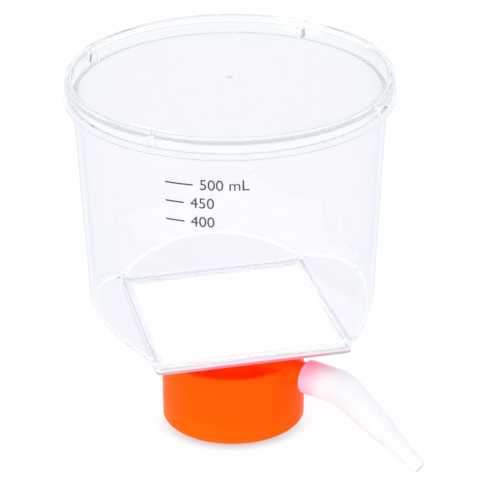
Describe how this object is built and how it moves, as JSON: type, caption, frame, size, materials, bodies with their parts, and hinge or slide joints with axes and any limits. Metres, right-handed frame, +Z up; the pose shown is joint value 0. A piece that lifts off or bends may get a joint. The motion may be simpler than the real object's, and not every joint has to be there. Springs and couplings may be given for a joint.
{
  "type": "vacuum filtration unit",
  "caption": "Bottle-top vacuum filter: clear funnel cup with vented lid, square membrane, orange threaded neck collar and a bent white hose connector on its side arm.",
  "frame": {"origin": "centre of the collar's bottom rim, on the axis of the bottle neck", "axes": "+Z up along the neck's axis; +X along the collar's side arm, towards the hose connector; the square flange is turned 49.6 degrees about +Z"},
  "size_m": [0.133, 0.1092, 0.1264],
  "materials": {
    "clear_styrene": "clear moulded polystyrene, polished",
    "orange_plastic": "satin moulded orange plastic",
    "membrane": "matte white filter membrane",
    "soft_tubing": "soft translucent white plastic",
    "seal_foam": "matte white foam",
    "cotton": "white cotton"
  },
  "bodies": {
    "filter_body": {"lid": "clear_styrene", "funnel_cup": "clear_styrene", "filter_membrane": "membrane", "filter_base": "clear_styrene", "neck_collar": "orange_plastic", "neck_gasket": "seal_foam", "port_plug": "cotton"},
    "connector_body": {"hose_connector": "soft_tubing"}
  },
  "joints": [
    {"name": "connector_swivel", "type": "hinge", "parent": "filter_body", "child": "connector_body", "pos_m": [0.0313, 0, 0.023], "axis": [1, 0, 0], "continuous": true}
  ]
}
